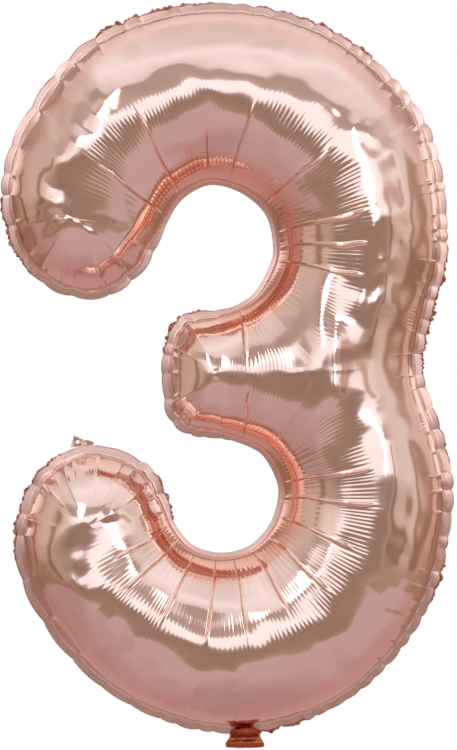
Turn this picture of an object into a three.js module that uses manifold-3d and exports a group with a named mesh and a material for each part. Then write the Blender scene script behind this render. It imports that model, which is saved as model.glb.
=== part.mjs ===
// Foil number balloon: the digit 3, about 86 cm tall when it is filled with gas.
//
// Two films of one outline are welded together all round and bulge between the welds.
// Millimetres, +Z up, the front faces -Y. The origin is on the mid-plane, at the fold of the neck.
import * as THREE from "three";
import { mergeVertices } from "three/addons/utils/BufferGeometryUtils.js";
import Module from "manifold-3d";

const wasm = await Module();
wasm.setup();

// ---- The seam, where the bulge of the films starts ----

// Each bowl is set out round the centre of its hole. A rib crosses the stroke:
// its angle in degrees, the distance of the inner seam and the distance of the outer seam.
const UPPER_CENTRE = [-42, 578];
const UPPER_RIBS = [
  [165, 67, 238],
  [150, 67, 250],
  [120, 75, 268],
  [90, 84, 274],
  [60, 85, 280],
  [30, 87, 281],
  [0, 85, 266],
  [-15, 84, 259],
];
const LOWER_CENTRE = [-29, 292];
const LOWER_RIBS = [
  [-165, 70, 235],
  [-150, 72, 242],
  [-120, 76, 252],
  [-90, 77, 265],
  [-60, 78, 269],
  [-30, 77, 264],
  [0, 78, 260],
  [15, 78, 257],
];

// The ribs of the short middle arm are upright: x, lower seam, upper seam.
const ARM_RIBS = [
  [-28, 368, 497],
  [-8, 364, 502],
];

// Where the three strokes meet: the inner corners on the two holes, as angle and distance,
// and the waist on the right.
const UPPER_CORNER = [-45, 84];
const LOWER_CORNER = [45, 78];
const WAIST = [195, 442];

// The free ends, as angle and distance from the middle of the stroke's first rib.
const UPPER_END = [
  [-45, 86],
  [-75, 89],
  [-105, 84],
  [-135, 79],
  [-165, 77],
];
const LOWER_END = [
  [165, 77],
  [131, 81],
  [97, 87],
  [71, 86],
  [45, 87],
];
const ARM_END = [
  [240, 69],
  [222, 69],
  [200, 60],
  [172, 59],
  [145, 64],
  [125, 70],
];
const TAB_POINT = 2; // the point of LOWER_END that carries the hanging tab

// ---- Films and welds ----

const CROWN_RATIO = 0.98; // height of a stroke's crown over half its width
const JUNCTION_CROWN = 97; // height where the three strokes meet
const BORDER = 10; // width of the welded border outside the seam
const FILM = 0.8;
const WELD = 1; // thickness of the fused layer between the two borders
const CLEARANCE = 0.3; // left between pieces that touch
const WELD_INSET = 0.5; // from the weld's edges to the border's edges
const INNER_LEVEL = WELD / 2 + CLEARANCE; // of the border's inner face above the mid-plane
const OUTER_LEVEL = INNER_LEVEL + FILM;

const STEPS = 3; // stretches between two ribs of the outline
const CURVE_STEPS = 5; // facets from the seam to the crown

// ---- Neck, tail, valve and tab ----

const NECK_WIDTH = 47;
const NECK_TOP = 24; // the neck runs up into the border to here
const NECK_BOTTOM = 2.2; // clear of the fold, which is at zero
const NECK_SIDE_WELD = 5;
const TAIL_LENGTH = 60;
const TAIL_START = 2.5; // from the fold's axis to the tail
const TAIL_CORNER = 7;
const TAIL_REST = 25; // degrees above level, folded to the rear
const THIN_FILM = 0.35; // of the tail and the valve
const THIN_GAP = 0.3; // between the two films of the tail or the valve
const VALVE_WIDTH = 34;
const VALVE_ROOT_TOP = 30;
const VALVE_TOP = 130;
const VALVE_MOUTH_CORNER = 9;
const TAB_WIDTH = 26;
const TAB_HEIGHT = 13;
const TAB_CORNER = 6;
const TAB_HOLE = 2.2; // radius
const TAB_THICKNESS = 1;
const TAB_GAP = 0.5; // from the border's edge to the tab

// ---- The outline as one closed seam ----

// A point at an angle and a distance from a centre, on the mid-plane.
function polar([x, z], [degrees, distance]) {
  const angle = THREE.MathUtils.degToRad(degrees);
  return new THREE.Vector3(x + distance * Math.cos(angle), 0, z + distance * Math.sin(angle));
}

function middle(a, b) {
  return a.clone().add(b).multiplyScalar(0.5);
}

// The point on the mid-plane that is as far from a as from b and c.
function equidistant(a, b, c) {
  const [bx, bz, cx, cz] = [b.x - a.x, b.z - a.z, c.x - a.x, c.z - a.z];
  const twice = 2 * (bx * cz - bz * cx);
  const b2 = bx * bx + bz * bz;
  const c2 = cx * cx + cz * cz;
  return new THREE.Vector3(a.x + (cz * b2 - bz * c2) / twice, 0, a.z + (bx * c2 - cx * b2) / twice);
}

// A stroke from its free end to the junction: two seams, and between them a spine,
// whose y is the height of the crown. The end's points run from its first side to its second.
function stroke(first, second, junction, end) {
  const spine = first.slice(0, -1).map((a, i) => {
    const point = middle(a, second[i]);
    point.y = (CROWN_RATIO * a.distanceTo(second[i])) / 2;
    return point;
  });
  const centre = [spine[0].x, spine[0].z];
  spine.push(junction);
  return {
    first,
    second,
    end: end.map((point) => polar(centre, point)),
    spine: new THREE.CatmullRomCurve3(spine, false, "centripetal"),
    rows: spine.length - 1,
  };
}

const upperCorner = polar(UPPER_CENTRE, UPPER_CORNER);
const lowerCorner = polar(LOWER_CENTRE, LOWER_CORNER);
const waist = new THREE.Vector3(WAIST[0], 0, WAIST[1]);
const junction = equidistant(upperCorner, lowerCorner, waist);
junction.y = JUNCTION_CROWN;

function bowl(centre, ribs, corner, end) {
  const inner = ribs.map(([angle, near]) => polar(centre, [angle, near]));
  const outer = ribs.map(([angle, , far]) => polar(centre, [angle, far]));
  return stroke([...inner, corner], [...outer, waist], junction, end);
}

const upper = bowl(UPPER_CENTRE, UPPER_RIBS, upperCorner, UPPER_END);
const lower = bowl(LOWER_CENTRE, LOWER_RIBS, lowerCorner, LOWER_END);
const arm = stroke(
  [...ARM_RIBS.map(([x, low]) => new THREE.Vector3(x, 0, low)), lowerCorner],
  [...ARM_RIBS.map(([x, , high]) => new THREE.Vector3(x, 0, high)), upperCorner],
  junction,
  ARM_END,
);

// The seam clockwise as seen from the front, in legs that each follow one stroke.
// Every leg starts where the leg before it ends.
const upwards = (s, points) => ({ s, points, rows: points.map((_, i) => i) });
const downwards = (s, points) => ({
  s,
  points: points.toReversed(),
  rows: points.map((_, i) => i).toReversed(),
});
const around = (s, points) => ({ s, points, rows: points.map(() => 0) });
const legs = [
  upwards(upper, upper.second),
  downwards(lower, lower.second),
  around(lower, [lower.second[0], ...lower.end, lower.first[0]]),
  upwards(lower, lower.first),
  downwards(arm, arm.first),
  around(arm, [arm.first[0], ...arm.end, arm.second[0]]),
  upwards(arm, arm.second),
  downwards(upper, upper.first),
  around(upper, [upper.first[0], ...upper.end, upper.second[0]]),
];
const seam = new THREE.CatmullRomCurve3(
  legs.flatMap((leg) => leg.points.slice(0, -1)),
  true,
  "centripetal",
);

// Places along the seam, each with its outward direction and its point on the spine.
function placesAlongSeam() {
  const places = [];
  const stretches = seam.points.length;
  let stretch = 0;
  for (const { s, rows } of legs)
    for (let i = 0; i < rows.length - 1; i++, stretch++)
      for (let step = 0; step < STEPS; step++) {
        const part = step / STEPS;
        const t = (stretch + part) / stretches;
        const row = THREE.MathUtils.lerp(rows[i], rows[i + 1], part);
        const tangent = seam.getTangent(t);
        places.push({
          at: seam.getPoint(t),
          outward: new THREE.Vector3(-tangent.z, 0, tangent.x),
          crown: s.spine.getPoint(row / s.rows),
        });
      }
  return places;
}
const places = placesAlongSeam();

// ---- Solids ----

// A closed mesh from rows of points, one row for each place, joined in a ring.
// A closed section also joins its last point to its first.
function ring(rows, closedSection) {
  const width = rows[0].length;
  const position = new Float32Array(rows.flat().flatMap((p) => p.toArray()));
  const index = [];
  for (let i = 0; i < rows.length; i++)
    for (let j = 0; j < (closedSection ? width : width - 1); j++) {
      const [next, up] = [(i + 1) % rows.length, (j + 1) % width];
      const [a, b] = [i * width + j, i * width + up];
      const [c, d] = [next * width + up, next * width + j];
      index.push(a, b, c, a, c, d);
    }
  const geometry = new THREE.BufferGeometry();
  geometry.setAttribute("position", new THREE.BufferAttribute(position, 3));
  geometry.setIndex(index);
  return solid(geometry);
}

// A manifold solid. Triangles that close up to a line where ribs share a point are dropped.
function solid(geometry) {
  geometry.deleteAttribute("normal");
  geometry.deleteAttribute("uv");
  const merged = mergeVertices(geometry, 1e-3);
  const corners = merged.index.array;
  const triVerts = [];
  for (let i = 0; i < corners.length; i += 3) {
    const [a, b, c] = corners.slice(i, i + 3);
    if (a !== b && b !== c && c !== a) triVerts.push(a, b, c);
  }
  return new wasm.Manifold(
    new wasm.Mesh({
      numProp: 3,
      vertProperties: merged.attributes.position.array,
      triVerts: new Uint32Array(triVerts),
    }),
  );
}

// A box from its lowest to its highest corner.
function block([x0, y0, z0], [x1, y1, z1]) {
  const box = new THREE.BoxGeometry(x1 - x0, y1 - y0, z1 - z0);
  return solid(box.translate((x0 + x1) / 2, (y0 + y1) / 2, (z0 + z1) / 2));
}

// A point between a seam point and the crown. The film leaves the seam upright and
// reaches the crown level, as a quarter of an ellipse.
function onBulge(from, fromLevel, crown, crownLevel, turn) {
  const across = 1 - Math.cos(turn);
  const point = from.clone().lerp(crown, across);
  point.y = fromLevel + (crownLevel - fromLevel) * Math.sin(turn);
  return point;
}

// One film: outer face from the crown to the seam, round the border, inner face to the crown.
function filmSection({ at, outward, crown }) {
  const turns = Array.from({ length: CURVE_STEPS + 1 }, (_, i) => (i * Math.PI) / 2 / CURVE_STEPS);
  const edge = at.clone().addScaledVector(outward, BORDER);
  const inset = at.clone().addScaledVector(outward, -FILM);
  const outer = turns.map((turn) => onBulge(at, OUTER_LEVEL, crown, crown.y, turn));
  const inner = turns.map((turn) => onBulge(inset, INNER_LEVEL, crown, crown.y - FILM, turn));
  return [
    ...outer.toReversed(),
    edge.clone().setY(OUTER_LEVEL),
    edge.clone().setY(INNER_LEVEL),
    ...inner,
  ];
}

// The rear panel, with its half of the neck.
function rearPanel() {
  const film = ring(places.map(filmSection), false);
  const neck = block(
    [-NECK_WIDTH / 2, INNER_LEVEL, NECK_BOTTOM],
    [NECK_WIDTH / 2, OUTER_LEVEL, NECK_TOP],
  );
  return film.add(neck);
}

// The fused layer, open at the neck for the valve, with the side welds of the neck.
function perimeterWeld() {
  const half = WELD / 2;
  const sections = places.map(({ at, outward }) => {
    const inside = at.clone().addScaledVector(outward, WELD_INSET);
    const outside = at.clone().addScaledVector(outward, BORDER - WELD_INSET);
    return [
      inside.clone().setY(half),
      outside.clone().setY(half),
      outside.clone().setY(-half),
      inside.clone().setY(-half),
    ];
  });
  let weld = ring(sections, true);
  for (const side of [-1, 1]) {
    const xs = [side * (NECK_WIDTH / 2), side * (NECK_WIDTH / 2 - NECK_SIDE_WELD)];
    xs.sort((a, b) => a - b);
    weld = weld.add(block([xs[0], -half, NECK_BOTTOM], [xs[1], half, NECK_TOP]));
  }
  const opening = VALVE_WIDTH / 2 + CLEARANCE;
  return weld.subtract(block([-opening, -WELD, 0], [opening, WELD, VALVE_ROOT_TOP + BORDER]));
}

// A rectangle from (-width / 2, low) to (width / 2, high) whose upper corners are round.
function roundTopped(width, low, high, corner) {
  const shape = new THREE.Shape();
  shape.moveTo(-width / 2, low);
  shape.lineTo(width / 2, low);
  shape.absarc(width / 2 - corner, high - corner, corner, 0, Math.PI / 2);
  shape.absarc(-width / 2 + corner, high - corner, corner, Math.PI / 2, Math.PI);
  shape.closePath();
  return shape;
}

// A flat sheet of the shape, from one level to another along its own z.
function sheet(shape, low, high) {
  const options = { depth: high - low, bevelEnabled: false, curveSegments: 5 };
  return solid(new THREE.ExtrudeGeometry(shape, options).translate(0, 0, low));
}

// ---- The scene graph ----

const foil = { color: 0xd9a796, roughness: 0.18, metalness: 1 };
const foilRear = { color: 0xcf9987, roughness: 0.2, metalness: 1 };
const foilTail = { color: 0xb5654a, roughness: 0.25, metalness: 1 };
const fused = { color: 0x9c5a48, roughness: 0.4, metalness: 0.6 };
const clearFilm = { color: 0xe8e8e4, roughness: 0.35, metalness: 0 };

function piece(name, manifold, finish) {
  const { vertProperties, triVerts } = manifold.getMesh();
  const geometry = new THREE.BufferGeometry();
  geometry.setAttribute("position", new THREE.BufferAttribute(vertProperties, 3));
  geometry.setIndex(new THREE.BufferAttribute(triVerts, 1));
  geometry.computeVertexNormals();
  const mesh = new THREE.Mesh(geometry, new THREE.MeshStandardMaterial(finish));
  mesh.name = name;
  return mesh;
}

const balloon = new THREE.Group();

const rear = rearPanel();
balloon.add(
  piece("front_panel", rear.mirror([0, 1, 0]), foil),
  piece("rear_panel", rear, foilRear),
  piece("perimeter_weld", perimeterWeld(), fused),
);

// The valve stands up from the neck into the chamber. Its sheets are drawn flat and stood up.
const valve = new THREE.Group();
valve.rotation.x = Math.PI / 2;
const valveRoot = roundTopped(VALVE_WIDTH, NECK_BOTTOM, VALVE_ROOT_TOP, THIN_GAP);
const valveFlap = roundTopped(
  VALVE_WIDTH,
  VALVE_ROOT_TOP + CLEARANCE,
  VALVE_TOP,
  VALVE_MOUTH_CORNER,
);
const near = THIN_GAP / 2;
const far = near + THIN_FILM;
valve.add(
  piece("valve_root_front_film", sheet(valveRoot, near, far), clearFilm),
  piece("valve_root_rear_film", sheet(valveRoot, -far, -near), clearFilm),
  piece("valve_flap_front_film", sheet(valveFlap, near, far), clearFilm),
  piece("valve_flap_rear_film", sheet(valveFlap, -far, -near), clearFilm),
);
balloon.add(valve);

// The filling tail, folded up behind the neck. Its front film faces the front when it hangs.
const tail = new THREE.Group();
tail.rotation.x = THREE.MathUtils.degToRad(TAIL_REST);
const tailShape = roundTopped(NECK_WIDTH, TAIL_START, TAIL_START + TAIL_LENGTH, TAIL_CORNER);
tail.add(
  piece("tail_front_film", sheet(tailShape, -far, -near), foilTail),
  piece("tail_rear_film", sheet(tailShape, near, far), foilTail),
);
balloon.add(tail);

// The hanging tab stands on the border of the lower free end, square to its edge.
function hangingTab() {
  const shape = roundTopped(TAB_WIDTH, 0, TAB_HEIGHT, TAB_CORNER);
  const hole = new THREE.Path();
  hole.absarc(0, TAB_HEIGHT - TAB_CORNER, TAB_HOLE, 0, 2 * Math.PI, true);
  shape.holes.push(hole);
  const half = TAB_THICKNESS / 2;
  const mesh = piece("hanging_tab", sheet(shape, -half, half), foil);
  const root = lower.end[TAB_POINT];
  const degrees = LOWER_END[TAB_POINT][0];
  const away = polar([root.x, root.z], [degrees, BORDER + TAB_GAP]);
  mesh.position.copy(away);
  mesh.rotation.set(Math.PI / 2, 0, THREE.MathUtils.degToRad(degrees - 90), "XZY");
  return mesh;
}
balloon.add(hangingTab());

export default balloon;
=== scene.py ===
"""Foil number balloon, digit 3: the looks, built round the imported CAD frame. Metres, +Z up, front to -Y.

Shapes are worked out in millimetres, and MM scales them when a mesh is made.
"""

import math
from collections import namedtuple

import bpy
import numpy as np
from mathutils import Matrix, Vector, noise


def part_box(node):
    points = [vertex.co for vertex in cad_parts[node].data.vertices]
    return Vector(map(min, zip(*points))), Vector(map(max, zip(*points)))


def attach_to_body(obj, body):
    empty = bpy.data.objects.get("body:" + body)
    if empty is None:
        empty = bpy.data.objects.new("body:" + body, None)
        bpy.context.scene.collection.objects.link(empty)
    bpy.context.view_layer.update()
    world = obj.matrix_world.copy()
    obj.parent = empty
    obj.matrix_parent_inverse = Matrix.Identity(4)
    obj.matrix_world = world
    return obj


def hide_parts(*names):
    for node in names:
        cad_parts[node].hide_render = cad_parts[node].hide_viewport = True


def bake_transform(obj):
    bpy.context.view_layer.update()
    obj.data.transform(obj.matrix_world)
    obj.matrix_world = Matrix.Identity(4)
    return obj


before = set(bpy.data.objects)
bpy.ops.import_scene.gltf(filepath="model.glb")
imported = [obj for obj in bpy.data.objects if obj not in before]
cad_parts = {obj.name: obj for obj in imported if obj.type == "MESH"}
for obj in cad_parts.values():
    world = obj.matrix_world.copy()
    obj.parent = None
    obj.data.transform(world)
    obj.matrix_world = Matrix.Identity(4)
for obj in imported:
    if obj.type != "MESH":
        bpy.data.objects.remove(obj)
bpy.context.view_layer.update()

rng = np.random.default_rng(40)
MM = 0.001

# ---- The digit: the same driving dimensions as the CAD's, millimetres ----

# Ribs across a bowl, round the centre of its hole: angle, inner seam, outer seam.
UPPER_CENTRE = (-42, 578)
UPPER_RIBS = (
    (165, 67, 238), (150, 67, 250), (120, 75, 268), (90, 84, 274),
    (60, 85, 280), (30, 87, 281), (0, 85, 266), (-15, 84, 259),
)
LOWER_CENTRE = (-29, 292)
LOWER_RIBS = (
    (-165, 70, 235), (-150, 72, 242), (-120, 76, 252), (-90, 77, 265),
    (-60, 78, 269), (-30, 77, 264), (0, 78, 260), (15, 78, 257),
)
# Upright ribs of the arm: x, lower seam, upper seam.
ARM_RIBS = ((-28, 368, 497), (-8, 364, 502))
# Inner corners on the holes, as angle and distance, and the waist.
UPPER_CORNER = (-45, 84)
LOWER_CORNER = (45, 78)
WAIST = (195, 442)
# Free ends, as angle and distance from the middle of the first rib.
UPPER_END = ((-45, 86), (-75, 89), (-105, 84), (-135, 79), (-165, 77))
LOWER_END = ((165, 77), (131, 81), (97, 87), (71, 86), (45, 87))
ARM_END = ((240, 69), (222, 69), (200, 60), (172, 59), (145, 64), (125, 70))
CROWN_RATIO = 0.98  # height of a stroke's crown over half its width
JUNCTION_CROWN = 97
BORDER = 10.0  # width of the welded border outside the seam

# ---- The film ----

FILM_SEEDS = (11, 57)  # of the front film and the rear film
CREEP = 4.5  # how far the bulge pulls the seam towards the border's edge, on the taut sides of the holes
SEAM_LEVEL = 1.6  # the film above the mid-plane at the seam, and at the border's edge
FACE_LEVEL = 0.5
SMOOTH_ROUNDS = 260
VALLEY = (94, 448)  # where the film dips between the arm and the two bowls
VALLEY_DEPTH = 6.5

# Facets of the mesh.
ACROSS = 25  # from the seam to the crown
BORDER_STEPS = 3
END_STEP = 1.3  # round a free end
REED_STEPS = 5  # in each fine wrinkle

# Fine wrinkles across the crown.
REED_PITCH = 5.0
REED_HEIGHT = 0.25
# Pinches of the slack outer seam, which are wider apart at the free ends on the left.
LOBE_PITCH = 21
END_LOBE_PITCH = 40
LEFT_ENDS = (-60, -190)  # x where those ends begin, and where they are full
SCALLOP = 2.4
SWAY = 0.8
TAB_ZONE = (16, 34)  # the border is calm nearer to the tab than this, and free beyond that
# Deep folds that run out from the holes, by angle round the hole's centre: angle, reach across the stroke.
UPPER_FOLDS = (
    (143, 0.5), (118, 0.55), (90, 0.35), (72, 0.5), (38, 0.55), (12, 0.75), (0, 0.8), (-12, 0.75),
)
LOWER_FOLDS = (
    (12, 0.8), (-2, 0.75), (-20, 0.5), (-40, 0.5), (-58, 0.45), (-78, 0.5), (-95, 0.55), (-115, 0.5),
    (-135, 0.5), (-150, 0.45),
)
ARM_FOLDS = ((1.2, 0.4),)  # by row of the arm's ribs
FOLD_DEPTH = 1.9
FOLD_WIDTH = 1.3
# Flat gores round the free ends of the upper bowl, the lower bowl and the arm: their widths, and how flat.
END_GORES = (
    (1.2, 0.8, 1.1, 0.7, 1.3, 0.9),
    (0.9, 1.3, 0.8, 1.2, 0.7, 1.1, 0.9),
    (1.0, 0.9, 1.8, 0.9, 1.0),
)
END_FLATNESS = (0.6, 0.6, 0.8)
GORE_DEPTH = 1.1
GORE_WIDTH = 2.2
# Crisp dents of the slack side, in cells of a lattice.
SHARD_DEPTH = 1.7
SHARD_CELL = 26
SHARD_ROWS = 9
# The fused edge between the two films.
RIM_LAP = 0.8  # how far the rim reaches in between the films
RIM_FRINGE = 3.2
SHEET_THICKNESS = 0.12  # of the rim and the valve

# ---- The neck, the tail, the tab and the valve ----

NECK_WIDTH = 47
NECK_TOP = 27  # on the body's lower wall
TAIL_REST = math.radians(25)  # above level, to the rear
TAIL_LENGTH = 62.5
TAIL_CORNER = 7
FOLD = 2.0  # radius of the turn at the fold
# Half the neck's width over its full half, by the run from the fold.
GATHERS = (
    (-NECK_TOP, 0.12), (-24, 0.50), (-21, 0.66), (-17, 0.72), (-12, 0.76), (-7, 0.88),
    (-2.5, 1), (2.5, 1), (9, 0.74), (28, 0.74), (44, 1),
)
TAB_GAP = 0.5  # from the border's edge
TAB_HOLE = 2.2
TAB_HOLE_MIDDLE = (-5.2, 5.4)
# A flap with one sharp peak and a low shoulder: sideways and up from the tab's root.
TAB_OUTLINE = (
    (-13.5, 0.5), (0, 0.2), (13, 0.5), (12.6, 2.5), (9, 5.0), (3, 6.6), (-2, 9.0), (-6, 12.6),
    (-8.4, 13.6), (-9.8, 9.5), (-12.4, 4),
)
TAB_THICKNESS = 0.5
VALVE_WIDTH = 34
VALVE_GAP = 0.35
VALVE_FOOT = 7  # above the fold
VALVE_IN_NECK = 0.78  # its width in the neck over the neck's

# ---- Colours ----

WHITE = (1, 1, 1)
ROSE = (0.92, 0.68, 0.62)
TAB_ROSE = (0.80, 0.50, 0.43)
# Painted shade: the fused edge is the same film, darkened to red for the shade where it folds back.
RIM_SHADE_RED = (0.46, 0.17, 0.13)
# Painted shade: the neck and tail are the same rose film, given a deep copper for their shade and bounced
# light.
TAIL_SHADE_COPPER = (0.46, 0.135, 0.065)
# These three multiply the film's own colour: a painted copper reflection on the steep film by the holes, a
# painted shade in its deep creases, and a duller tint on its border.
COPPER_REFLECTION = (1.0, 0.83, 0.75)
CREASE_SHADE = (0.42, 0.16, 0.12)
SEALED = (0.86, 0.79, 0.78)

# ---- The studio ----

AIM = Vector((-0.0191, 0, 0.4315))  # the middle of the view, on the digit's mid-plane
CAMERA_DISTANCE = 3.2
VIEW_HEIGHT = 0.870  # metres that the frame takes in at the digit's mid-plane
LIGHT_DISTANCE = 2.7
# Soft boxes: name, azimuth to the right of the camera's side, elevation, width and height, brightness.
LIGHTS = (("key", -27, 24, (0.5, 1.1), 2.0), ("fill", 26, 14, (0.5, 1.3), 1.7))
FLOOR_LEVEL = -0.45  # well below the balloon
FLOOR_RADIUS = 1.5
FLOOR_CORNERS = 96

# What the film mirrors, by height of the direction from -1 to 1, straight ahead and to the sides.
AHEAD = (
    (-1.0, (0.48, 0.32, 0.32)), (-0.77, (0.60, 0.45, 0.46)), (-0.43, (0.60, 0.47, 0.47)),
    (-0.39, (0.44, 0.33, 0.27)), (-0.29, (0.38, 0.27, 0.20)), (-0.05, (0.32, 0.24, 0.19)),
    (0.02, (0.45, 0.38, 0.35)), (0.05, (1.15, 1.20, 1.24)), (0.27, (1.25, 1.30, 1.34)),
    (0.30, (0.55, 0.50, 0.45)), (0.38, (0.50, 0.42, 0.37)), (0.52, (0.48, 0.40, 0.36)),
    (0.57, (0.85, 0.82, 0.80)), (0.84, (1.04, 1.08, 1.10)), (1.0, (0.80, 0.78, 0.76)),
)
ASIDE = (
    (-1.0, (0.50, 0.33, 0.33)), (-0.58, (0.60, 0.46, 0.46)), (-0.42, (0.60, 0.47, 0.47)),
    (-0.38, (0.40, 0.29, 0.21)), (-0.28, (0.50, 0.39, 0.31)), (-0.1, (0.72, 0.62, 0.54)),
    (0.12, (0.80, 0.74, 0.69)), (0.5, (0.82, 0.77, 0.74)), (0.84, (1.0, 1.02, 1.03)),
    (1.0, (0.80, 0.78, 0.76)),
)
SIDEWAYS = (0.60, 0.88)  # across, where AHEAD gives way to ASIDE
# The room's far half and left side, against the ramps, and where each begins and is full.
BEHIND = (0.92, 0.77, 0.72)
BEHIND_FROM = (-0.1, 0.4)
LEFT = (0.80, 0.74, 0.70)
LEFT_FROM = (-0.45, -0.8)
# Dark uprights in the room: 1 for the right or -1 for the left, from and to across, reach up and down.
POSTS = ((1, 0.70, 0.80, 0.24), (1, 0.93, 1.01, 0.34), (-1, 0.86, 0.95, 0.26))
POST = (0.60, 0.47, 0.39)
POST_EDGES = (0.03, 0.04)  # how soft its sides and its ends are

# ---- Small tools ----


def polar(centre, angle, distance):
    a = math.radians(angle)
    return np.array([centre[0] + distance * math.cos(a), centre[1] + distance * math.sin(a)])


def lengths(points):
    """How far each point lies along the path through them."""
    return np.concatenate([[0], np.cumsum(np.linalg.norm(np.diff(points, axis=0), axis=1))])


def smooth(low, high, x):
    """0 before low, 1 beyond high, and a soft step between them. low may be above high."""
    t = np.clip((x - low) / (high - low), 0, 1)
    return t * t * (3 - 2 * t)


def noise_at(x, y, seed):
    """Soft noise, about -1 to 1, over two arrays of one shape."""
    flat = [noise.noise((a, b, seed)) for a, b in zip(x.ravel().tolist(), y.ravel().tolist())]
    return np.array(flat).reshape(x.shape) * 1.6


def equidistant(a, b, c):
    """The point as far from a as from b and from c."""
    (bx, bz), (cx, cz) = b - a, c - a
    twice = 2 * (bx * cz - bz * cx)
    b2, c2 = bx * bx + bz * bz, cx * cx + cz * cz
    return a + np.array([cz * b2 - bz * c2, bx * c2 - cx * b2]) / twice


def make_piece(name, points, faces):
    """A smooth-shaded object. points are in millimetres."""
    mesh = bpy.data.meshes.new(name)
    mesh.from_pydata((points * MM).tolist(), [], faces)
    mesh.polygons.foreach_set("use_smooth", [True] * len(mesh.polygons))
    mesh.update()
    piece = bpy.data.objects.new(name, mesh)
    bpy.context.collection.objects.link(piece)
    return piece


def attach(piece, body, node):
    """Makes a piece ride on a body, in a CAD node's place."""
    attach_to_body(piece, body)
    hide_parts(node)


class Curve:
    """A centripetal Catmull-Rom curve through points. Its parameter counts points."""

    def __init__(self, points, closed):
        p = np.asarray(points, float)
        if closed:
            q = np.concatenate([p[-1:], p, p[:2]])
        else:
            q = np.concatenate([2 * p[:1] - p[1:2], p, 2 * p[-1:] - p[-2:-1]])
        p0, p1, p2, p3 = q[:-3], q[1:-2], q[2:-1], q[3:]
        d0, d1, d2 = (
            np.sqrt(np.linalg.norm(b - a, axis=1))[:, None] for a, b in ((p0, p1), (p1, p2), (p2, p3))
        )
        self.start, self.end = p1, p2
        self.leave = ((p1 - p0) / d0 - (p2 - p0) / (d0 + d1) + (p2 - p1) / d1) * d1
        self.arrive = ((p2 - p1) / d1 - (p3 - p1) / (d1 + d2) + (p3 - p2) / d2) * d1

    def at(self, u):
        u = np.asarray(u, float)
        i = np.minimum(u.astype(int), len(self.start) - 1)
        f = (u - i)[..., None]
        a, b, ta, tb = self.start[i], self.end[i], self.leave[i], self.arrive[i]
        return a + ta * f + (3 * (b - a) - 2 * ta - tb) * f**2 + (2 * (a - b) + ta + tb) * f**3


# ---- The outline: three strokes that meet at a junction ----

upper_corner = polar(UPPER_CENTRE, *UPPER_CORNER)
lower_corner = polar(LOWER_CENTRE, *LOWER_CORNER)
junction = equidistant(upper_corner, lower_corner, np.array(WAIST, float))


class Stroke:
    """A tube of film. first and second are its ribs' seam points, from the free end to the junction."""

    def __init__(self, first, second, end, folds):
        self.first, self.second = np.array(first, float), np.array(second, float)
        middle = (self.first + self.second) / 2
        crown = CROWN_RATIO * np.linalg.norm(self.first - self.second, axis=1) / 2
        spine = np.column_stack([middle, crown])
        spine[-1] = (*junction, JUNCTION_CROWN)
        self.spine = Curve(spine, closed=False)
        self.rows = len(spine) - 1
        self.end = np.array([polar(middle[0], *e) for e in end])
        fine = np.linspace(0, self.rows, 2001)
        run = lengths(self.spine.at(fine)[:, :2])
        self.folds = [(np.interp(row, fine, run), reach) for row, reach in folds]
        # Stations: every fine wrinkle has its own width, cut into equal facets.
        count = round(run[-1] / REED_PITCH)
        widths = rng.uniform(0.7, 1.35, count)
        edges = np.concatenate([[0], np.cumsum(widths)]) * run[-1] / widths.sum()
        self.wrinkle = np.arange(count * REED_STEPS + 1) / REED_STEPS
        self.along = np.interp(self.wrinkle, np.arange(count + 1), edges)
        self.row = np.interp(self.along, run, fine)


def bowl(centre, ribs, corner, end, folds):
    """A round stroke, whose folds are given by angle."""
    inner = [polar(centre, angle, near) for angle, near, _ in ribs]
    outer = [polar(centre, angle, far) for angle, _, far in ribs]
    turn = -1 if ribs[0][0] > ribs[1][0] else 1
    angles = [turn * angle for angle, _, _ in ribs]
    rows = [(np.interp(turn * angle, angles, np.arange(len(ribs))), reach) for angle, reach in folds]
    return Stroke([*inner, corner], [*outer, WAIST], end, sorted(rows))


upper = bowl(UPPER_CENTRE, UPPER_RIBS, upper_corner, UPPER_END, UPPER_FOLDS)
lower = bowl(LOWER_CENTRE, LOWER_RIBS, lower_corner, LOWER_END, LOWER_FOLDS)
arm = Stroke(
    [*[(x, low) for x, low, _ in ARM_RIBS], lower_corner],
    [*[(x, high) for x, _, high in ARM_RIBS], upper_corner],
    ARM_END,
    ARM_FOLDS,
)
STROKES = (upper, lower, arm)

# The legs of the seam in order round the digit, each with its seam points in that order.
# kind: "rise" runs from the free end to the junction, "fall" runs back, "end" goes round the free end.
# side: 1 for a bowl's outer seam and -1 for its seam on the hole, 1 above the arm and -1 below it,
# and 0 round an end.
Leg = namedtuple("Leg", "stroke points kind side")


def round_end(stroke, first, last):
    return Leg(stroke, np.array([first, *stroke.end, last]), "end", 0)


legs = (
    Leg(upper, upper.second, "rise", 1),
    Leg(lower, lower.second[::-1], "fall", 1),
    round_end(lower, lower.second[0], lower.first[0]),
    Leg(lower, lower.first, "rise", -1),
    Leg(arm, arm.first[::-1], "fall", -1),
    round_end(arm, arm.first[0], arm.second[0]),
    Leg(arm, arm.second, "rise", 1),
    Leg(upper, upper.first[::-1], "fall", -1),
    round_end(upper, upper.first[0], upper.second[0]),
)
seam_curve = Curve(np.concatenate([leg.points[:-1] for leg in legs]), closed=True)


def side_stations(leg):
    """The stroke's own stations: places on the leg, rows, runs, wrinkles, and steps along the spine."""
    stroke = leg.stroke
    order = slice(None, -1) if leg.kind == "rise" else slice(None, 0, -1)
    rows = stroke.row[order]
    spots = rows if leg.kind == "rise" else stroke.rows - rows
    return spots, rows, stroke.along[order], stroke.wrinkle[order], np.arange(len(stroke.row))[order]


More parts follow.
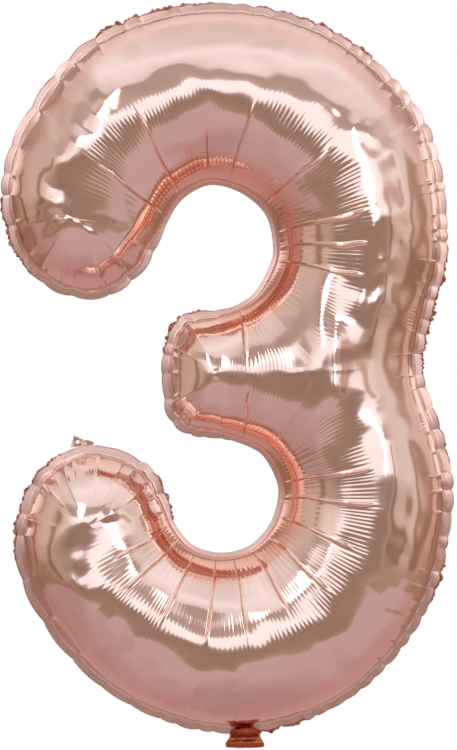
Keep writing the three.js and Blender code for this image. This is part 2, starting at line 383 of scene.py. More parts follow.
def end_stations(leg, base):
    """Equal steps round a free end, with ribs that all climb to the spine's first point."""
    fine = np.linspace(0, len(leg.points) - 1, 400)
    walk = lengths(seam_curve.at(base + fine))
    count = round(walk[-1] / END_STEP)
    spots = np.interp(np.arange(count) * walk[-1] / count, walk, fine)
    at_first_point = np.zeros(count)
    return spots, at_first_point, at_first_point, at_first_point, at_first_point


class Stations:
    """Places round the closed seam, each with the place on a spine that its rib climbs to.

    side and owner say which seam of which stroke a station is on, along how far down the stroke it is,
    wrinkle how many fine wrinkles come before it, and run how far round the seam it is.
    """

    def __init__(self):
        columns = []
        base = 0
        for leg in legs:
            found = end_stations(leg, base) if leg.kind == "end" else side_stations(leg)
            spots, rows, runs, wrinkles, steps = found
            owner = STROKES.index(leg.stroke)
            at_junction = steps == len(leg.stroke.row) - 1
            crown = np.where(at_junction, 0, 1 + 2000 * owner + steps)  # strokes have under 2000 steps
            same = np.ones(len(rows), int)
            columns.append((base + spots, rows, runs, wrinkles, same * leg.side, same * owner, crown))
            base += len(leg.points) - 1
        joined = [np.concatenate(parts) for parts in zip(*columns)]
        place, self.row, self.along, self.wrinkle, self.side, self.owner, crown = joined
        # Ribs that meet on a spine share a crown point, and all three strokes share the junction's.
        _, self.crown_id = np.unique(crown, return_inverse=True)
        self.ribs_of_crown = np.bincount(self.crown_id).astype(float)
        self.count = len(place)
        self.seam = seam_curve.at(place)
        self.crown = np.zeros((self.count, 3))
        for number, stroke in enumerate(STROKES):
            mine = self.owner == number
            self.crown[mine] = stroke.spine.at(self.row[mine])
        ahead = np.roll(self.seam, -1, axis=0) - np.roll(self.seam, 1, axis=0)
        ahead /= np.linalg.norm(ahead, axis=1)[:, None]
        self.outward = np.column_stack([-ahead[:, 1], ahead[:, 0]])
        step = np.linalg.norm(np.roll(self.seam, -1, axis=0) - self.seam, axis=1)
        self.run = np.concatenate([[0], np.cumsum(step)[:-1]])
        self.total = step.sum()

    def at_crowns(self, points):
        """The mean of the ribs' points at each crown point."""
        sums = [np.bincount(self.crown_id, points[:, k]) for k in range(3)]
        return np.column_stack([one / self.ribs_of_crown for one in sums])


stations = Stations()

# ---- The film: a grid of stations by steps from the seam to the crown ----

climb = (np.arange(ACROSS + 1) / ACROSS) * math.pi / 2
SHAPE = (stations.count, ACROSS + 1)
plan = np.broadcast_to(1 - np.cos(climb), SHAPE)  # seen from the front: 0 at the seam, 1 at the crown
along = np.broadcast_to(stations.along[:, None], SHAPE)
on_end = stations.side == 0
of_arm = stations.owner == STROKES.index(arm)
facing_hole = (stations.side < 0) | (of_arm & ~on_end)
to_junction = np.linalg.norm(stations.crown[:, :2] - junction, axis=1)
at_left_ends = smooth(*LEFT_ENDS, stations.seam[:, 0])
tab_root = lower.end[2]
off_tab = smooth(*TAB_ZONE, np.linalg.norm(stations.seam - tab_root, axis=1))


def how_slack():
    """1 on the outer seams, which are scalloped, and 0 on the taut seams of the holes and the arm."""
    width = 61
    window = np.hanning(width) / np.hanning(width).sum()
    flags = np.resize(~facing_hole, stations.count + width - 1).astype(float)
    return np.roll(np.convolve(flags, window, "valid"), width // 2)


def lobe_phase():
    """Where the outer seam is pinched: a phase that grows by one from pinch to pinch."""
    draw = np.random.default_rng(3)
    local = LOBE_PITCH + (END_LOBE_PITCH - LOBE_PITCH) * at_left_ends
    step = np.diff(np.append(stations.run, stations.total)) / local
    pace = np.concatenate([[0], np.cumsum(step)])
    count = round(pace[-1])
    widths = draw.uniform(0.55, 1.5, count)
    edges = np.concatenate([[0], np.cumsum(widths)]) * pace[-1] / widths.sum()
    return np.interp(pace[:-1], edges, np.arange(count + 1))


slack = how_slack()
creep = CREEP * (1 - slack)
phase = lobe_phase()
MOST_LOBES = 400
lobe_number = np.floor(phase).astype(int)
lobe = np.abs(np.sin(math.pi * phase)) ** 0.7
draw_lobes = np.random.default_rng(9)
lobe_size = draw_lobes.uniform(0.4, 1.5, MOST_LOBES)[lobe_number]
lobe_lean = draw_lobes.uniform(-1, 1, MOST_LOBES)[lobe_number]
scallop = slack * lobe_size * (lobe - 0.6) * SCALLOP * off_tab
sway = slack * lobe_lean * lobe * SWAY * off_tab


def reeds(seed):
    """Fine wrinkles across the crown, a comb whose teeth end at different places."""
    draw = np.random.default_rng(seed)
    most_of_stroke, most = 700, 2200
    tooth = np.floor(stations.wrinkle).astype(int) + most_of_stroke * stations.owner
    tall = draw.uniform(0.75, 1.0, most)[tooth][:, None]
    reach = draw.uniform(0.79, 0.93, most)[tooth][:, None]
    wave = np.abs(np.sin(math.pi * stations.wrinkle))[:, None] - 0.6
    paired = np.abs(np.sin(math.pi * stations.wrinkle / 2))[:, None] - 0.6  # near a hole they join in pairs
    wave = wave + (paired - wave) * np.where(facing_hole[:, None], 1 - smooth(0.35, 0.6, plan), 0)
    outer_fade = smooth(reach, reach + 0.16, plan)
    inner_fade = 0.30 + 0.70 * smooth(0.55, 0.85, plan) + 0.45 * (1 - smooth(0.25, 0.5, plan))
    patch = np.clip(0.75 + 0.45 * noise_at(along / 45, plan * 3, seed + 0.3), 0.35, 1.1)
    height = tall * wave * np.where(facing_hole[:, None], inner_fade, outer_fade) * patch
    height *= (smooth(0, 45, stations.along) * smooth(12, 50, to_junction))[:, None]
    height[on_end] = 0
    return REED_HEIGHT * height


def pinches(seed):
    """Radial folds and small domes just inside a slack seam."""
    dome = (lobe - 0.55) * lobe_size
    near = 1 - smooth(0.0, 0.20, plan)
    petal = (0.8 + 2.2 * at_left_ends)[:, None]
    deep = np.random.default_rng(seed).uniform(0.05, 0.3, MOST_LOBES)[lobe_number][:, None]
    groove = np.exp(-np.abs(phase - np.round(phase)) / 0.07) * lobe_size
    inner_end = 1 - smooth(deep * 0.3, deep, plan)
    rays = np.abs(np.sin(math.pi * stations.run / 3.9)) - 0.6
    ray_patch = smooth(0.0, 0.5, noise_at(stations.run / 40, np.full(stations.count, 0.7), seed + 0.9))
    ray_patch = ray_patch[:, None] * smooth(0.03, 0.08, plan) * (1 - smooth(0.12, 0.3, plan))
    comb = 0.4 * rays[:, None] * ray_patch
    return slack[:, None] * (petal * dome[:, None] * near - 1.2 * groove[:, None] * inner_end + comb)


def shards(seed):
    """Crisp flat dents in patches of the slack side: heights at a lattice's knots, straight between them."""
    draw = np.random.default_rng(seed)
    cells = round(stations.total / SHARD_CELL)
    knots = draw.uniform(-1, 1, (cells, SHARD_ROWS))
    across = plan * 5.0 + 0.5 * noise_at(along / 60, plan * 2, seed + 0.7) + 0.5
    v = np.clip(across, 0, SHARD_ROWS - 1.01)
    u = (stations.run / stations.total * cells)[:, None] + 0.25 * np.sin(v * 2.1)
    i, j = np.floor(u).astype(int), np.floor(v).astype(int)
    fu, fv = u - i, v - j
    low = knots[i % cells, j] * (1 - fu) + knots[(i + 1) % cells, j] * fu
    high = knots[i % cells, j + 1] * (1 - fu) + knots[(i + 1) % cells, j + 1] * fu
    patch = smooth(-0.15, 0.35, noise_at(stations.run / 130, np.full(stations.count, 0.4), seed + 1.3))
    span = smooth(0.03, 0.15, plan) * (1 - smooth(0.70, 0.92, plan))
    return SHARD_DEPTH * (low * (1 - fv) + high * fv) * (patch * slack)[:, None] * span


def slow_swells(seed):
    """Long soft dents that bend every reflection."""
    lift = 1 - np.cos(climb)
    x = stations.seam[:, None, 0] + (stations.crown[:, None, 0] - stations.seam[:, None, 0]) * lift
    z = stations.seam[:, None, 1] + (stations.crown[:, None, 1] - stations.seam[:, None, 1]) * lift
    swell = 1.6 * noise_at(x / 70, z / 70, seed) + 0.6 * noise_at(x / 28, z / 28, seed + 4)
    valley = VALLEY_DEPTH * np.exp(-(((x - VALLEY[0]) / 15) ** 2) - ((z - VALLEY[1]) / 48) ** 2)
    ridge = 1.3 * noise_at(along / 120, plan * 4.5 * stations.side[:, None], seed + 8) * (~on_end)[:, None]
    ridge *= (smooth(0, 60, stations.along) * smooth(20, 90, to_junction))[:, None]
    ridge *= 1 - smooth(0.6, 0.9, plan)
    return (swell + ridge - valley) * np.sin(climb) ** 0.5


def flatten(base, members, runs, fold_at, weight):
    """Moves that turn the film between folds into flat facets. runs rise along the members."""
    step = np.clip(np.searchsorted(runs, fold_at), 0, len(members) - 1)
    folds = base[members[step]]
    cell = np.clip(np.searchsorted(fold_at, runs, side="right") - 1, 0, len(fold_at) - 2)
    part = ((runs - fold_at[cell]) / (fold_at[cell + 1] - fold_at[cell]))[:, None, None]
    chord = folds[cell] * (1 - part) + folds[cell + 1] * part
    return (chord - base[members]) * weight[..., None]


def fold_side(base, normal, move, painted_reflection_and_shade, number, side, seed):
    """Flat facets along one taut seam, and a groove at each fold between them, with painted shade in each
    groove.
    """
    stroke = STROKES[number]
    mine = np.flatnonzero((stations.owner == number) & (stations.side == side))
    mine = mine[np.argsort(stations.along[mine])]
    runs, across = stations.along[mine], plan[mine]
    fold_at = np.array([0, *[at for at, _ in stroke.folds], runs[-1]])
    flat = smooth(0.02, 0.5, across) * (1 - smooth(0.75, 0.98, across)) * 0.9
    move[mine] += flatten(base, mine, runs, fold_at, flat)
    x = runs[:, None] + 3 * noise_at(across * 2.7, np.full(across.shape, number + side), seed)
    for at, reach in stroke.folds:
        end = 2 * reach - 0.1
        span = smooth(0.0, 0.1, across) * (1 - smooth(end - 0.15, end, across))
        groove = np.exp(-np.abs(x - at) / FOLD_WIDTH)
        move[mine] -= normal[mine] * (FOLD_DEPTH * groove * span)[..., None]
        # Painted shade in each fold's groove.
        painted_reflection_and_shade[mine] = np.maximum(painted_reflection_and_shade[mine], groove * span)


def fold_end(base, normal, move, number, seed):
    """Flat gores round one free end, and a groove between each two."""
    mine = np.flatnonzero((stations.owner == number) & on_end)
    runs, across = stations.run[mine], plan[mine]
    draw = np.random.default_rng(int(seed * 10) + number)
    widths = END_GORES[number]
    fold_at = runs[0] + np.concatenate([[0], np.cumsum(widths)]) / sum(widths) * (runs[-1] - runs[0])
    flat = smooth(0.0, 0.06, across) * (1 - smooth(0.25, 0.7, across)) * END_FLATNESS[number]
    move[mine] += flatten(base, mine, runs, fold_at, flat)
    for at in fold_at[1:-1]:
        span = 1 - smooth(0.1, draw.uniform(0.3, 0.7), across)
        groove = np.exp(-np.abs(runs[:, None] - at) / GORE_WIDTH) * span
        move[mine] -= normal[mine] * (GORE_DEPTH * groove)[..., None]


def facets(base, normal, seed):
    """Moves of the base's points, and how much painted copper reflection and painted crease shade each point
    gets, from 0 to 1.
    """
    move = np.zeros_like(base)
    # Painted copper reflection: the steep film by the holes, which mirrors the film across the hole, is
    # tinted copper.
    painted_reflection_and_shade = np.where(facing_hole[:, None], 1 - smooth(0.10, 0.34, plan), 0.0) * 0.6
    for number, stroke in enumerate(STROKES):
        taut_sides = (-1, 1) if stroke is arm else (-1,)
        for side in taut_sides:
            fold_side(base, normal, move, painted_reflection_and_shade, number, side, seed)
        fold_end(base, normal, move, number, seed)
    return move, painted_reflection_and_shade


def where_strokes_meet(flat):
    """1 near the junction and the free ends' middles, where the ribs alone would leave creases."""
    ease = 1 - smooth(55, 120, np.linalg.norm(flat - junction, axis=-1))
    for stroke in STROKES:
        middle_of_end = stroke.spine.at(np.array([0.0]))[0, :2]
        ease = np.maximum(ease, 1 - smooth(25, 65, np.linalg.norm(flat - middle_of_end, axis=-1)))
    return (ease * smooth(0.0, 0.25, plan))[..., None]


def taut_shape():
    """The film without wrinkles: quarter-ellipse ribs from seam to spine, smoothed where strokes meet."""
    seam, crown, out = stations.seam, stations.crown, stations.outward
    lift = 1 - np.cos(climb)
    flat = seam[:, None] + (crown[:, None, :2] - seam[:, None]) * lift[None, :, None]
    level = SEAM_LEVEL + crown[:, None, 2] * np.sin(climb)
    shape = np.stack([flat[..., 0], level, flat[..., 1]], axis=-1)
    ease = where_strokes_meet(flat)
    for _ in range(SMOOTH_ROUNDS):
        beside = (np.roll(shape, 1, axis=0) + np.roll(shape, -1, axis=0)) / 2 - shape
        above = np.zeros_like(shape)
        above[:, 1:-1] = (shape[:, :-2] + shape[:, 2:]) / 2 - shape[:, 1:-1]
        above[:, -1] = stations.at_crowns(shape[:, -2])[stations.crown_id] - shape[:, -1]
        shape = shape + ease * (0.8 * beside + 0.08 * above)
        shape[:, -1] = stations.at_crowns(shape[:, -1])[stations.crown_id]
    edge = scallop[:, None] * (1 - smooth(0, 0.1, plan)) + creep[:, None] * (1 - smooth(0, 0.4, plan))
    shape[..., 0] += out[:, None, 0] * edge
    shape[..., 2] += out[:, None, 1] * edge
    return shape


taut = taut_shape()


def taut_normals():
    along_tangent = np.roll(taut, -1, axis=0) - np.roll(taut, 1, axis=0)
    up_tangent = np.gradient(taut, axis=1)
    up_tangent[:, 0] = (0, 1, 0)
    normal = np.cross(up_tangent, along_tangent)
    size = np.linalg.norm(normal, axis=-1, keepdims=True)
    return np.where(size > 1e-9, normal / np.maximum(size, 1e-9), (0, 1, 0))


def border_points(facing):
    """The welded border, from its edge in towards the seam."""
    outness = np.arange(BORDER_STEPS, 0, -1) / BORDER_STEPS
    edge = (scallop + creep)[:, None] + (BORDER - creep)[:, None] * outness
    rim = stations.seam[:, None] + stations.outward[:, None] * edge[..., None]
    face = SEAM_LEVEL + (FACE_LEVEL - SEAM_LEVEL) * outness ** 0.9
    puff = 0.2 * np.sin(math.pi * outness)[None, :] * (slack * (lobe - 0.5) * lobe_size)[:, None]
    bend = facing * sway[:, None] * outness[None, :] ** 1.5
    return np.stack([rim[..., 0], face + puff + bend, rim[..., 1]], axis=-1)


def film_faces(count, wide, facing):
    """Quads over the grid of stations, closed round the seam, and triangles at the free ends' crowns."""
    index = np.arange(count * wide).reshape(count, wide)
    index = np.column_stack([index, count * wide + stations.crown_id])
    after = np.roll(index, -1, axis=0)
    quads = np.stack([index[:, :-1], index[:, 1:], after[:, 1:], after[:, :-1]], axis=-1).reshape(-1, 4)
    if facing > 0:
        quads = quads[:, ::-1]
    corners = [list(dict.fromkeys(quad)) for quad in quads.tolist()]
    return [face for face in corners if len(face) > 2]


def film(name, facing, seed):
    """One panel. facing is -1 for the front and 1 for the rear."""
    normal = taut_normals()
    height = reeds(seed) + pinches(seed) + slow_swells(seed) + shards(seed)
    height *= smooth(0, 0.02, plan)
    move, painted_reflection_and_shade = facets(taut, normal, seed + 0.5)
    points = taut + normal * height[..., None] + move
    grid = np.concatenate([border_points(facing), points[:, :-1]], axis=1)
    count, wide = grid.shape[:2]
    crown_points = stations.at_crowns(points[:, -1])
    verts = np.concatenate([grid.reshape(-1, 3), crown_points])
    verts[:, 1] *= facing
    piece = make_piece(name, verts, film_faces(count, wide, facing))
    depth, sealed = np.zeros((2, len(verts)))
    # The painted copper reflection and crease shade go to the material as a point attribute.
    depth[: count * wide].reshape(count, wide)[:, BORDER_STEPS:] = painted_reflection_and_shade[:, :-1]
    sealed[: count * wide].reshape(count, wide)[:, :BORDER_STEPS] = 1
    for attribute, values in (("painted_reflection_and_shade", depth), ("sealed", sealed)):
        piece.data.attributes.new(attribute, "FLOAT", "POINT").data.foreach_set("value", values)
    return piece


front_film = film("front_film", -1, FILM_SEEDS[0])
rear_film = film("rear_film", 1, FILM_SEEDS[1])
attach(front_film, "envelope", "front_panel")
attach(rear_film, "envelope", "rear_panel")


def sheet_of(name, grid, thickness, closed=False):
    """A thin solid sheet over a grid of points. closed joins its last row to its first."""
    across_v = np.gradient(grid, axis=1)
    if closed:
        along_v = np.roll(grid, -1, axis=0) - np.roll(grid, 1, axis=0)
    else:
        along_v = np.gradient(grid, axis=0)
    normal = np.cross(along_v, across_v)
    normal /= np.maximum(np.linalg.norm(normal, axis=-1, keepdims=True), 1e-9)
    rows, columns = grid.shape[:2]
    offset = normal * (thickness / 2)
    section = np.concatenate([grid + offset, (grid - offset)[:, ::-1]], axis=1)  # a loop round the sheet
    index = np.arange(rows * 2 * columns).reshape(rows, 2 * columns)
    before = index if closed else index[:-1]
    after = np.roll(index, -1, axis=0)[: len(before)]
    turned, turned_after = np.roll(before, -1, axis=1), np.roll(after, -1, axis=1)
    faces = np.stack([before, turned, turned_after, after], axis=-1).reshape(-1, 4).tolist()
    if not closed:
        for row, flip in ((index[0], -1), (index[-1], 1)):
            back = row[::-1]
            caps = np.stack([row[: columns - 1], row[1:columns], back[1:columns], back[: columns - 1]], -1)
            faces += caps[:, ::flip].tolist()
    return make_piece(name, section.reshape(-1, 3), faces)


# ---- The rim: the fused edge that joins the two films ----


def rim():
    """A rounded strip along the border's edge, from the front film to the rear film, crumpled in patches."""
    turns = np.linspace(-1, 1, 9) * math.pi / 2
    run, still = stations.run, np.full(stations.count, 0.2)
    patch = smooth(-0.05, 0.45, noise_at(run / 80, still, 21.5))
    knobs = np.abs(noise_at(run / 5.5, still, 31.5)) + 0.4 * np.abs(noise_at(run / 2.4, still, 12.5))
    fringe = patch * knobs * RIM_FRINGE * off_tab
    curl = 0.9 * fringe * noise_at(run / 4, still, 5.5)
    edge = stations.seam + stations.outward * (BORDER + scallop - RIM_LAP)[:, None]
    reach = RIM_LAP + 0.3 + fringe
    place = edge[:, None] + stations.outward[:, None] * (reach[:, None] * np.cos(turns))[..., None]
    level = FACE_LEVEL * 1.04 * np.sin(turns)[None, :] + sway[:, None] + curl[:, None] * np.cos(turns)
    grid = np.stack([place[..., 0], level, place[..., 1]], axis=-1)
    return sheet_of("fused_rim", grid, SHEET_THICKNESS, closed=True)


fused_rim = rim()
attach(fused_rim, "envelope", "perimeter_weld")

# ---- The neck and the filling tail, folded up behind it ----


def neck_half(run):
    """Half the tube's width: a round top, full at the fold, gathered behind it, full at the tail's end."""
    place, gather = zip(*GATHERS)
    return NECK_WIDTH / 2 * np.interp(run, place, gather)


def tube_path(run):
    """The tube's middle line and its front's direction, as depth and height. It turns within the fold."""
    heading = -math.pi / 2 + (math.pi / 2 + TAIL_REST) * smooth(-FOLD, FOLD, run)
    line = np.zeros((len(run), 2))
    steps = np.diff(run)[:, None] * np.column_stack([np.cos(heading), np.sin(heading)])[:-1]
    line[1:] = np.cumsum(steps, axis=0)
    line += np.array([0.0, 0.25]) - line[np.argmin(np.abs(run))]
    front = np.column_stack([-np.sin(heading + math.pi), np.cos(heading + math.pi)])
    return line, front


def tube_half(run):
    """Half the width, drawn in a little at the fold, with round corners at the tail's tip."""
    tip = np.clip(TAIL_CORNER - (TAIL_LENGTH - run), 0, TAIL_CORNER)
    corner = TAIL_CORNER - np.sqrt(np.maximum(TAIL_CORNER**2 - tip**2, 0.3))
    drawn_in = 3.2 * (1 - smooth(0, 4, np.abs(run)))
    return neck_half(run) - drawn_in - corner


def hump(distance, height, width):
    """A soft hump, with its top where distance is 0."""
    return height * np.exp(-((distance / width) ** 2))


def tube_depth(r, c, front_side):
    """How far the wall stands from the middle line, by run r and place c from -1 to 1 across.

    The neck is a dome under the body, then a pinch, then a lip above the fold. The tail is slack.
    """
    plump = np.sqrt(np.clip(1 - c**2, 0, 1))
    dome = hump(r + 21, 15, 7)
    pinch = hump(r + 11 + 1.5 * c, -1.6, 2.2)
    lip = hump(r + 5, 3.2, 3.6)
    slack_tail = smooth(4, 20, r) * 2.2
    own_crumple = 0.9 * noise_at(r / 9, c * 4.2 + front_side * 3, 5.7)
    own_crumple += 0.35 * noise_at(r / 3.5, c * 12, 2.2)
    half = (0.9 + dome + lip + pinch + slack_tail) * plump**0.8
    half = half * (1 + 0.25 * own_crumple * smooth(-24, -12, r))
    half = np.maximum(half, np.where(r < -FOLD, 1.9, 0.5) * plump**0.5)
    wall = np.where(front_side >= 0, 1.0, -0.7 - 0.1 * smooth(0, 20, r)) * half
    crumple = 0.9 * noise_at(r / 9, c * 4.2, 3.3) + 0.6 * noise_at(r / 4.5, c * 9 + r / 11, 8.1)
    shift = crumple * (0.4 + 0.6 * plump) * np.where(r < 0, 0.35, 1.0)
    return wall + shift * smooth(0, 6, np.abs(r)) * smooth(-20, -12, r)


def neck_and_tail():
    """A flattened tube as one closed sheet: down from the body, round the fold, and up behind."""
    neck, turn = np.linspace(-NECK_TOP, -FOLD, 40), np.linspace(-FOLD, FOLD, 9)
    run = np.concatenate([neck, turn[1:-1], np.linspace(FOLD, TAIL_LENGTH, 64)])
    line, front = tube_path(run)
    round_tube = np.linspace(0, 2 * math.pi, 97)[:-1]
    r, c = np.meshgrid(run, np.cos(round_tube), indexing="ij")
    depth = tube_depth(r, c, np.sin(round_tube)[None])
    x = tube_half(run)[:, None] * c + 0.5 * noise_at(r / 6, c * 0 + 0.4, 1.9)
    y = line[:, None, 0] + front[:, None, 0] * depth
    z = line[:, None, 1] + front[:, None, 1] * depth
    index = np.arange(x.size).reshape(x.shape)
    around = np.roll(index, -1, axis=1)
    faces = np.stack([index[:-1], around[:-1], around[1:], index[1:]], axis=-1).reshape(-1, 4).tolist()
    faces += [index[0][::-1].tolist(), index[-1].tolist()]
    return make_piece("neck_and_tail", np.stack([x, y, z], axis=-1).reshape(-1, 3), faces)


neck_tail = neck_and_tail()
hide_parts("tail_front_film", "tail_rear_film")
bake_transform(neck_tail)

# ---- The hanging tab on the lower free end ----


def hanging_tab():
    """A flap of the fused edge, creased and bent, with a punched hole."""
    up = tab_root - lower.spine.at(np.array([0.0]))[0, :2]
    up /= np.linalg.norm(up)
    right = np.array([up[1], -up[0]])
    middle = np.array(TAB_HOLE_MIDDLE)
    edge = Curve(TAB_OUTLINE, closed=True).at(np.linspace(0, len(TAB_OUTLINE), 97)[:-1])
    start = np.argmin(np.arctan2(*(edge - middle).T[::-1]) % (2 * math.pi))
    edge = np.roll(edge, -start, axis=0)
    angle = np.arctan2(edge[:, 1] - middle[1], edge[:, 0] - middle[0])
    hole = middle + TAB_HOLE * np.column_stack([np.cos(angle), np.sin(angle)])
    part = np.linspace(0, 1, 15)[None, :, None]
    flat = hole[:, None] * (1 - part) + edge[:, None] * part
    s, t = flat[..., 0], flat[..., 1]
    bend = 1.4 * np.sin(s * 0.42 + 0.5) + 0.6 * noise_at(s / 3, t / 3, 4.4) - 0.9 * smooth(6, 13, t)
    bend *= smooth(0.5, 6, t)
    place = tab_root + (BORDER + TAB_GAP + t)[..., None] * up + s[..., None] * right
    grid = np.stack([place[..., 0], bend, place[..., 1]], axis=-1)
    return sheet_of("tab_flap", grid, TAB_THICKNESS, closed=True)


tab_flap = hanging_tab()
attach(tab_flap, "tab", "hanging_tab")

# ---- The valve: two thin sheets up the neck into the chamber ----


def valve_sheet(name, side, low, high):
    """side is -1 for the front and 1 for the rear. The middle of the mouth stands open a little."""
    z, part = np.meshgrid(np.linspace(low, high, 40), np.linspace(-1, 1, 25), indexing="ij")
    gathered = np.minimum(VALVE_IN_NECK * neck_half(-z), VALVE_WIDTH / 2)
    gathered += (VALVE_WIDTH / 2 - gathered) * smooth(NECK_TOP - 9, NECK_TOP + 8, z)
    x = part * gathered
    open_part = smooth(40, 130, z) * np.cos(x / VALVE_WIDTH * math.pi)
    level = side * (VALVE_GAP + 0.9 * open_part) + 0.25 * noise_at(x / 7, z / 16, 6.6) * smooth(31, 60, z)
    level *= 0.6 + 0.4 * smooth(20, 40, z)
    return sheet_of(name, np.stack([x, level, z], axis=-1), SHEET_THICKNESS)


valve_pieces = []
for side, face in ((-1, "front"), (1, "rear")):
    for part, body in (("root", "envelope"), ("flap", face + "_flap")):
        node = f"valve_{part}_{face}_film"
        low, high = (corner[2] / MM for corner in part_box(node))
        low = max(low, VALVE_FOOT)
        made = valve_sheet(f"{face}_valve_{part}", side, low, high)
        attach(made, body, node)
        valve_pieces.append(made)

# ---- Materials and the world ----


class Nodes:
    """Short calls that add nodes to a tree. A value may be a socket, a number or a colour."""

    def __init__(self, tree, coordinates):
        self.tree = tree
        self.place = self.add("ShaderNodeTexCoord").outputs[coordinates]

    def add(self, kind):
        return self.tree.nodes.new(kind)

    def put(self, value, socket):
        if isinstance(value, tuple):
            socket.default_value = (*value, 1)
        elif isinstance(value, (int, float)):
            socket.default_value = value
        else:
            self.tree.links.new(value, socket)

    def noise(self, scale, detail=3):
        node = self.add("ShaderNodeTexNoise")
        node.inputs["Scale"].default_value = scale
        node.inputs["Detail"].default_value = detail
        self.put(self.place, node.inputs["Vector"])
        return node.outputs["Fac"]

    def attribute(self, name):
        node = self.add("ShaderNodeAttribute")
        node.attribute_name = name
        return node.outputs["Fac"]

    def ramp(self, value, steps):
        node = self.add("ShaderNodeValToRGB")
        elements = node.color_ramp.elements
        while len(elements) < len(steps):
            elements.new(0.5)
        for element, (position, colour) in zip(elements, steps):
            element.position = position
            element.color = (*colour, 1)
        self.put(value, node.inputs["Fac"])
        return node.outputs["Color"]

    def rescale(self, value, first, last, low=0.0, high=1.0):
        """first at low and before it, last at high and beyond it."""
        node = self.add("ShaderNodeMapRange")
        self.put(value, node.inputs["Value"])
        for socket, number in (("From Min", low), ("From Max", high), ("To Min", first), ("To Max", last)):
            node.inputs[socket].default_value = number
        return node.outputs["Result"]

    def math(self, operation, *values):
        node = self.add("ShaderNodeMath")
        node.operation = operation
        for socket, value in zip(node.inputs, values):
            self.put(value, socket)
        return node.outputs[0]

    def mix(self, factor, first, second, blend="MIX"):
        node = self.add("ShaderNodeMix")
        node.data_type = "RGBA"
        node.blend_type = blend
        for socket, value in (("Factor", factor), ("A", first), ("B", second)):
            self.put(value, node.inputs[socket])
        return node.outputs["Result"]

    def bump(self, height, strength, distance):
        node = self.add("ShaderNodeBump")
        node.inputs["Strength"].default_value = strength
        node.inputs["Distance"].default_value = distance
        self.put(height, node.inputs["Height"])
        return node.outputs["Normal"]


def new_material(name):
    """A material, the calls for its nodes, and its shader's inputs."""
    material = bpy.data.materials.new(name)
    material.use_nodes = True
    return material, Nodes(material.node_tree, "Object"), material.node_tree.nodes["Principled BSDF"].inputs


def foil(name, colour, roughness):
    """Metallised film: faint colour drift, fine scuffs, a painted copper reflection by the holes and painted
    shade in the deep creases, and a duller sealed border.
    """
    material, looks, shader = new_material(name)
    grain_low, grain_high = roughness * 0.6, roughness * 1.5
    darker, lighter = (tuple(min(1, c * share) for c in colour) for share in (0.97, 1.02))
    shade = looks.ramp(looks.noise(9, 2), ((0.3, darker), (0.7, lighter)))
    # Painted copper reflection near the holes, and painted shade in the deep creases.
    painted_reflection_and_shade_tint = looks.ramp(looks.attribute("painted_reflection_and_shade"), ((0.0, WHITE), (0.6, COPPER_REFLECTION), (1.0, CREASE_SHADE)))
    shade = looks.mix(1.0, shade, painted_reflection_and_shade_tint, "MULTIPLY")
    sealed = looks.attribute("sealed")
    shade = looks.mix(1.0, shade, looks.ramp(sealed, ((0.0, WHITE), (1.0, SEALED))), "MULTIPLY")
    looks.put(shade, shader["Base Color"])
    film_grain = looks.rescale(looks.noise(60, 4), grain_low, grain_high)
    seal_grain = looks.rescale(looks.noise(240, 4), 0.22, 0.42)
    looks.put(looks.mix(sealed, film_grain, seal_grain), shader["Roughness"])
    looks.put(looks.bump(looks.noise(900, 2), 0.05, 0.0003), shader["Normal"])
    shader["Metallic"].default_value = 1.0
    return material


def valve_plastic():
    """Clear polyethylene, a little cloudy and scuffed."""
    material, looks, shader = new_material("valve_plastic")
    cloud = ((0.3, (0.86, 0.87, 0.86)), (0.7, (0.95, 0.95, 0.94)))
    looks.put(looks.ramp(looks.noise(30), cloud), shader["Base Color"])
    looks.put(looks.rescale(looks.noise(120), 0.25, 0.45), shader["Roughness"])
    looks.put(looks.bump(looks.noise(400), 0.1, 0.0002), shader["Normal"])
    shader["Transmission Weight"].default_value = 0.6
    return material


rose_foil = foil("rose_gold_film", ROSE, 0.09)
# The fused rim's dark red is painted shade.
rim_shade_foil = foil("fused_film", RIM_SHADE_RED, 0.3)
tab_foil = foil("tab_film", TAB_ROSE, 0.25)
# The neck and tail's deep copper is painted shade on the rose film.
tail_shade_foil = foil("tail_shade_film", TAIL_SHADE_COPPER, 0.2)
clear_film = valve_plastic()
for piece, material in (
    (front_film, rose_foil), (rear_film, rose_foil), (tab_flap, tab_foil), (fused_rim, rim_shade_foil),
    (neck_tail, tail_shade_foil), *[(made, clear_film) for made in valve_pieces],
):
    piece.data.materials.append(material)


def post_mask(room, x, z, side, near, far, reach):
    """1 inside an upright of the room and 0 outside it, with soft edges."""
    across, up = POST_EDGES
    x = room.math("MULTIPLY", x, float(side))
    mask = room.rescale(x, 0, 1, near, near + across)
    mask = room.math("MULTIPLY", mask, room.rescale(x, 1, 0, far - across, far))
    mask = room.math("MULTIPLY", mask, room.rescale(z, 0, 1, -reach, -reach + up))
    return room.math("MULTIPLY", mask, room.rescale(z, 0, 1, reach, reach - up))


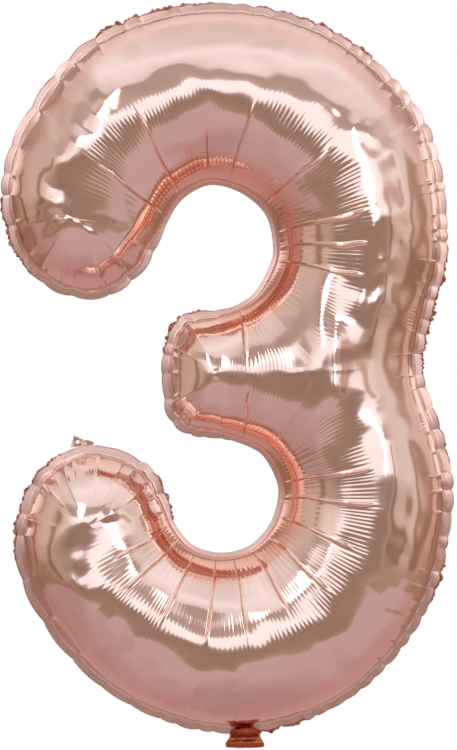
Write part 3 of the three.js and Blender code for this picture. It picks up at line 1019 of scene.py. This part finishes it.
def make_world():
    """The studio's surroundings, white to the eye but a room in reflections."""
    world = bpy.data.worlds.new("studio")
    bpy.context.scene.world = world
    world.use_nodes = True
    room = Nodes(world.node_tree, "Generated")
    split = room.add("ShaderNodeSeparateXYZ")
    room.put(room.place, split.inputs[0])
    x, y, z = split.outputs
    lean = room.math("MULTIPLY_ADD", room.noise(2.2, 1), 0.16, -0.08)
    height = room.math("MULTIPLY_ADD", room.math("ADD", z, lean), 0.5, 0.5)
    ahead, aside = (
        room.ramp(height, [(step / 2 + 0.5, colour) for step, colour in steps]) for steps in (AHEAD, ASIDE)
    )
    seen = room.mix(room.rescale(room.math("ABSOLUTE", x), 0, 1, *SIDEWAYS), ahead, aside)
    tints = [(room.rescale(y, 0, 1, *BEHIND_FROM), BEHIND), (room.rescale(x, 0, 1, *LEFT_FROM), LEFT)]
    tints += [(post_mask(room, x, z, *post), POST) for post in POSTS]
    for mask, tint in tints:
        seen = room.mix(1.0, seen, room.mix(mask, WHITE, tint), "MULTIPLY")
    to_camera = room.add("ShaderNodeLightPath").outputs["Is Camera Ray"]
    room.put(room.mix(to_camera, seen, WHITE), world.node_tree.nodes["Background"].inputs["Color"])


def soft_light(name, azimuth, elevation, size, brightness):
    a, e = math.radians(azimuth), math.radians(elevation)
    direction = Vector((math.sin(a) * math.cos(e), -math.cos(a) * math.cos(e), math.sin(e)))
    place = AIM + LIGHT_DISTANCE * direction
    data = bpy.data.lights.new(name, "AREA")
    data.shape = "ELLIPSE"
    data.size, data.size_y = size
    data.energy = brightness * math.pi * size[0] * size[1]
    lamp = bpy.data.objects.new(name, data)
    lamp.location = place
    lamp.rotation_euler = (AIM - place).to_track_quat("-Z", "Y").to_euler()
    bpy.context.collection.objects.link(lamp)


def make_floor():
    """A plain pale floor, which the balloon doesn't mirror."""
    turns = np.arange(FLOOR_CORNERS) * 2 * math.pi / FLOOR_CORNERS
    corners = [(FLOOR_RADIUS * math.cos(t), FLOOR_RADIUS * math.sin(t), FLOOR_LEVEL) for t in turns]
    mesh = bpy.data.meshes.new("floor")
    mesh.from_pydata(corners, [], [list(range(FLOOR_CORNERS))])
    floor = bpy.data.objects.new("floor", mesh)
    bpy.context.collection.objects.link(floor)
    material, looks, shader = new_material("pale_floor")
    pale = ((0.3, (0.88, 0.87, 0.86)), (0.7, (0.92, 0.91, 0.90)))
    looks.put(looks.ramp(looks.noise(6), pale), shader["Base Color"])
    shader["Roughness"].default_value = 0.8
    mesh.materials.append(material)
    floor.visible_glossy = False
    return floor


def make_camera():
    """Straight ahead, at the photograph's angle."""
    data = bpy.data.cameras.new("camera")
    data.sensor_fit = "VERTICAL"
    data.sensor_height = 24
    data.lens = data.sensor_height * CAMERA_DISTANCE / VIEW_HEIGHT
    camera = bpy.data.objects.new("camera", data)
    camera.location = AIM + Vector((0, -CAMERA_DISTANCE, 0))
    camera.rotation_euler = (math.pi / 2, 0, 0)
    bpy.context.collection.objects.link(camera)
    return camera


make_world()
for light in LIGHTS:
    soft_light(*light)
make_floor()
bpy.context.scene.camera = make_camera()
bpy.context.scene.view_settings.view_transform = "Standard"
